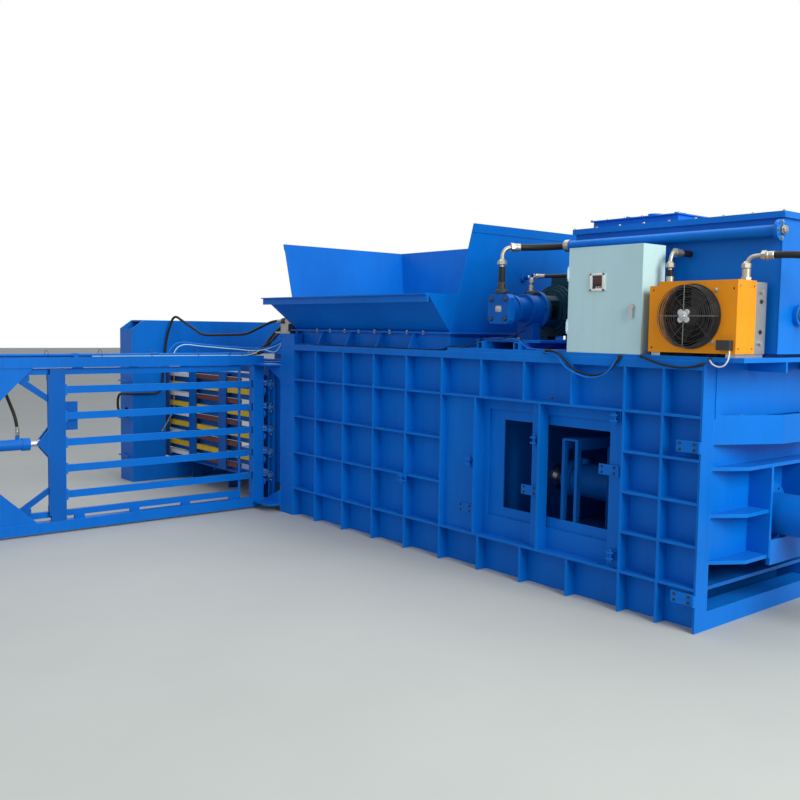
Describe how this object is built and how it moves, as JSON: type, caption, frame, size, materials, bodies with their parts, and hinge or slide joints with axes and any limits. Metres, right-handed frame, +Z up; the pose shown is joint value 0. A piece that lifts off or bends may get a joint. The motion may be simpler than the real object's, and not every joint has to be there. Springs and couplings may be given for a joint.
{
  "type": "horizontal baler",
  "caption": "Automatic horizontal recycling baler with hopper, ram, side needle unit, hinged bale channel with squeeze portal, and a power unit on the rear deck.",
  "frame": {"origin": "on the floor under the middle of the ribbed press body", "axes": "+X towards the main cylinder end, -X towards the bale outlet, -Y towards the needle side, +Z up"},
  "size_m": [7.905, 5.99, 2.488],
  "materials": {
    "blue_paint": "gloss",
    "deep_blue_paint": "gloss",
    "tool_steel": "ground",
    "bright_steel": "ground",
    "piston_iron": "machined",
    "bronze": "machined",
    "yellow_paint": "gloss",
    "nylon": "matt",
    "zinc_plate": "plated",
    "grey_paint": "fine texture",
    "black_plastic": "matt",
    "orange_paint": "gloss",
    "fin_aluminium": "satin",
    "hose_rubber": "matt"
  },
  "bodies": {
    "press": {"near_wall": "blue_paint", "far_wall": "blue_paint", "chamber_floor": "deep_blue_paint", "chamber_roof": "deep_blue_paint", "power_deck": "blue_paint", "rear_head": "blue_paint", "hopper": "blue_paint", "fixed_knife": "tool_steel", "main_cylinder": "blue_paint", "cylinder_bulkhead": "deep_blue_paint", "guard_fittings": "blue_paint", "valve_block": "zinc_plate", "needle_frame": "blue_paint", "needle_cylinder": "blue_paint", "guide_column": "deep_blue_paint", "twister_frame": "blue_paint", "squeeze_portal": "blue_paint", "channel_bed": "deep_blue_paint", "squeeze_cylinders": "blue_paint", "oil_tank": "blue_paint", "tank_lid": "blue_paint", "return_pipe": "blue_paint", "motor": "deep_blue_paint", "bell_housing": "deep_blue_paint", "pump": "deep_blue_paint", "control_cabinet": "grey_paint", "cooler_hood": "orange_paint", "cooler_core": "fin_aluminium", "fan_motor": "black_plastic", "hoses": "hose_rubber", "hose_fittings": "zinc_plate"},
    "ram": {"ram_body": "deep_blue_paint", "ram_knife": "tool_steel", "ram_shoes": "bronze", "main_rod": "bright_steel", "main_piston": "piston_iron"},
    "needle_unit": {"needle_carriage": "deep_blue_paint", "needles": "blue_paint", "needle_rod": "bright_steel"},
    "near_channel_side": {"near_side": "deep_blue_paint", "near_side_bars": "yellow_paint", "wire_strips": "nylon"},
    "far_channel_side": {"far_side": "deep_blue_paint", "far_side_bars": "yellow_paint"},
    "near_push_rod": {"near_squeeze_rod": "bright_steel"},
    "far_push_rod": {"far_squeeze_rod": "bright_steel"},
    "pump_coupling": {"drive_coupling": "bronze"},
    "fan": {"cooler_fan": "black_plastic"},
    "door": {"cabinet_door": "grey_paint"},
    "door_lock": {"cabinet_lock": "black_plastic"},
    "wire_wheel_1": {"guide_wheel_1": "tool_steel"},
    "wire_hook_1": {"twist_hook_1": "tool_steel"},
    "wire_wheel_2": {"guide_wheel_2": "tool_steel"},
    "wire_hook_2": {"twist_hook_2": "tool_steel"},
    "wire_wheel_3": {"guide_wheel_3": "tool_steel"},
    "wire_hook_3": {"twist_hook_3": "tool_steel"},
    "wire_wheel_4": {"guide_wheel_4": "tool_steel"},
    "wire_hook_4": {"twist_hook_4": "tool_steel"},
    "wire_wheel_5": {"guide_wheel_5": "tool_steel"},
    "wire_hook_5": {"twist_hook_5": "tool_steel"}
  },
  "joints": [
    {"name": "ram_stroke", "type": "slide", "parent": "press", "child": "ram", "axis": [-1, 0, 0], "range_m": [0, 2.15]},
    {"name": "needle_stroke", "type": "slide", "parent": "press", "child": "needle_unit", "axis": [0, 1, 0], "range_m": [0, 1.62]},
    {"name": "near_side_turn", "type": "hinge", "parent": "press", "child": "near_channel_side", "pos_m": [-2.205, -0.69, 0.745], "axis": [0, 0, -1], "range_deg": [0, 1.7]},
    {"name": "far_side_turn", "type": "hinge", "parent": "press", "child": "far_channel_side", "pos_m": [-2.205, 0.69, 0.745], "axis": [0, 0, 1], "range_deg": [0, 1.71]},
    {"name": "near_push", "type": "slide", "parent": "press", "child": "near_push_rod", "axis": [0, 1, 0], "range_m": [0, 0.07]},
    {"name": "far_push", "type": "slide", "parent": "press", "child": "far_push_rod", "axis": [0, -1, 0], "range_m": [0, 0.07]},
    {"name": "pump_spin", "type": "hinge", "parent": "press", "child": "pump_coupling", "pos_m": [0.565, -0.28, 1.845], "axis": [0, 1, 0], "continuous": true},
    {"name": "fan_spin", "type": "hinge", "parent": "press", "child": "fan", "pos_m": [2.07, -0.7, 1.794], "axis": [0, 1, 0], "continuous": true},
    {"name": "door_swing", "type": "hinge", "parent": "press", "child": "door", "pos_m": [1.176, -0.752, 1.895], "axis": [0, 0, -1], "range_deg": [0, 110]},
    {"name": "lock_turn", "type": "hinge", "parent": "door", "child": "door_lock", "pos_m": [1.675, -0.76, 1.85], "axis": [0, 1, 0], "range_deg": [0, 90]},
    {"name": "wheel_spin_1", "type": "hinge", "parent": "press", "child": "wire_wheel_1", "pos_m": [-2.345, -0.74, 0.31], "axis": [0, 1, 0], "continuous": true},
    {"name": "wheel_spin_2", "type": "hinge", "parent": "press", "child": "wire_wheel_2", "pos_m": [-2.345, -0.74, 0.524], "axis": [0, 1, 0], "continuous": true},
    {"name": "wheel_spin_3", "type": "hinge", "parent": "press", "child": "wire_wheel_3", "pos_m": [-2.345, -0.74, 0.738], "axis": [0, 1, 0], "continuous": true},
    {"name": "wheel_spin_4", "type": "hinge", "parent": "press", "child": "wire_wheel_4", "pos_m": [-2.345, -0.74, 0.952], "axis": [0, 1, 0], "continuous": true},
    {"name": "wheel_spin_5", "type": "hinge", "parent": "press", "child": "wire_wheel_5", "pos_m": [-2.345, -0.74, 1.166], "axis": [0, 1, 0], "continuous": true},
    {"name": "hook_spin_1", "type": "hinge", "parent": "press", "child": "wire_hook_1", "pos_m": [-2.43, 0.8, 0.31], "axis": [0, 1, 0], "continuous": true},
    {"name": "hook_spin_2", "type": "hinge", "parent": "press", "child": "wire_hook_2", "pos_m": [-2.43, 0.8, 0.524], "axis": [0, 1, 0], "continuous": true},
    {"name": "hook_spin_3", "type": "hinge", "parent": "press", "child": "wire_hook_3", "pos_m": [-2.43, 0.8, 0.738], "axis": [0, 1, 0], "continuous": true},
    {"name": "hook_spin_4", "type": "hinge", "parent": "press", "child": "wire_hook_4", "pos_m": [-2.43, 0.8, 0.952], "axis": [0, 1, 0], "continuous": true},
    {"name": "hook_spin_5", "type": "hinge", "parent": "press", "child": "wire_hook_5", "pos_m": [-2.43, 0.8, 1.166], "axis": [0, 1, 0], "continuous": true}
  ],
  "couplings": [
    {"joint": "far_side_turn", "follows": "near_side_turn", "ratio": 1},
    {"joint": "near_push", "follows": "near_side_turn", "m_per_rad": 2.33},
    {"joint": "far_push", "follows": "near_side_turn", "m_per_rad": 2.33},
    {"joint": "hook_spin_2", "follows": "hook_spin_1", "ratio": 1},
    {"joint": "hook_spin_3", "follows": "hook_spin_1", "ratio": 1},
    {"joint": "hook_spin_4", "follows": "hook_spin_1", "ratio": 1},
    {"joint": "hook_spin_5", "follows": "hook_spin_1", "ratio": 1}
  ]
}
